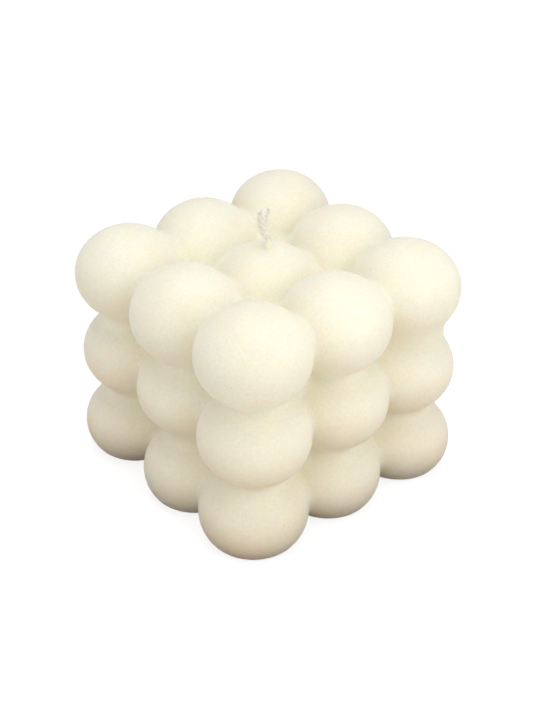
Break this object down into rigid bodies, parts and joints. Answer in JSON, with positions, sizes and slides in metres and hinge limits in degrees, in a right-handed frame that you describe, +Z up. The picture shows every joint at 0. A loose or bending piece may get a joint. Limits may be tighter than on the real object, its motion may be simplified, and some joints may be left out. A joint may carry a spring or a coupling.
{
  "type": "scented candle",
  "caption": "Free-standing scented wax candle: a cube of merged round balls cast in one piece, flat below, with a short braided wick rising from its middle.",
  "frame": {"origin": "middle of the flat base, on the surface that the candle stands on, on the line of the wick where the wax holds it", "axes": "+Z up along the wick, +X and +Y square to the sides of the cube; the free wick leans towards -X and +Y"},
  "size_m": [0.06, 0.06, 0.0569],
  "materials": {
    "wax": "ivory wax, satin, finely grained and slightly translucent",
    "cotton_wick": "braided cotton with a thin coat of wax"
  },
  "bodies": {
    "root": {"wax_body": "wax", "wick": "cotton_wick"}
  },
  "joints": []
}
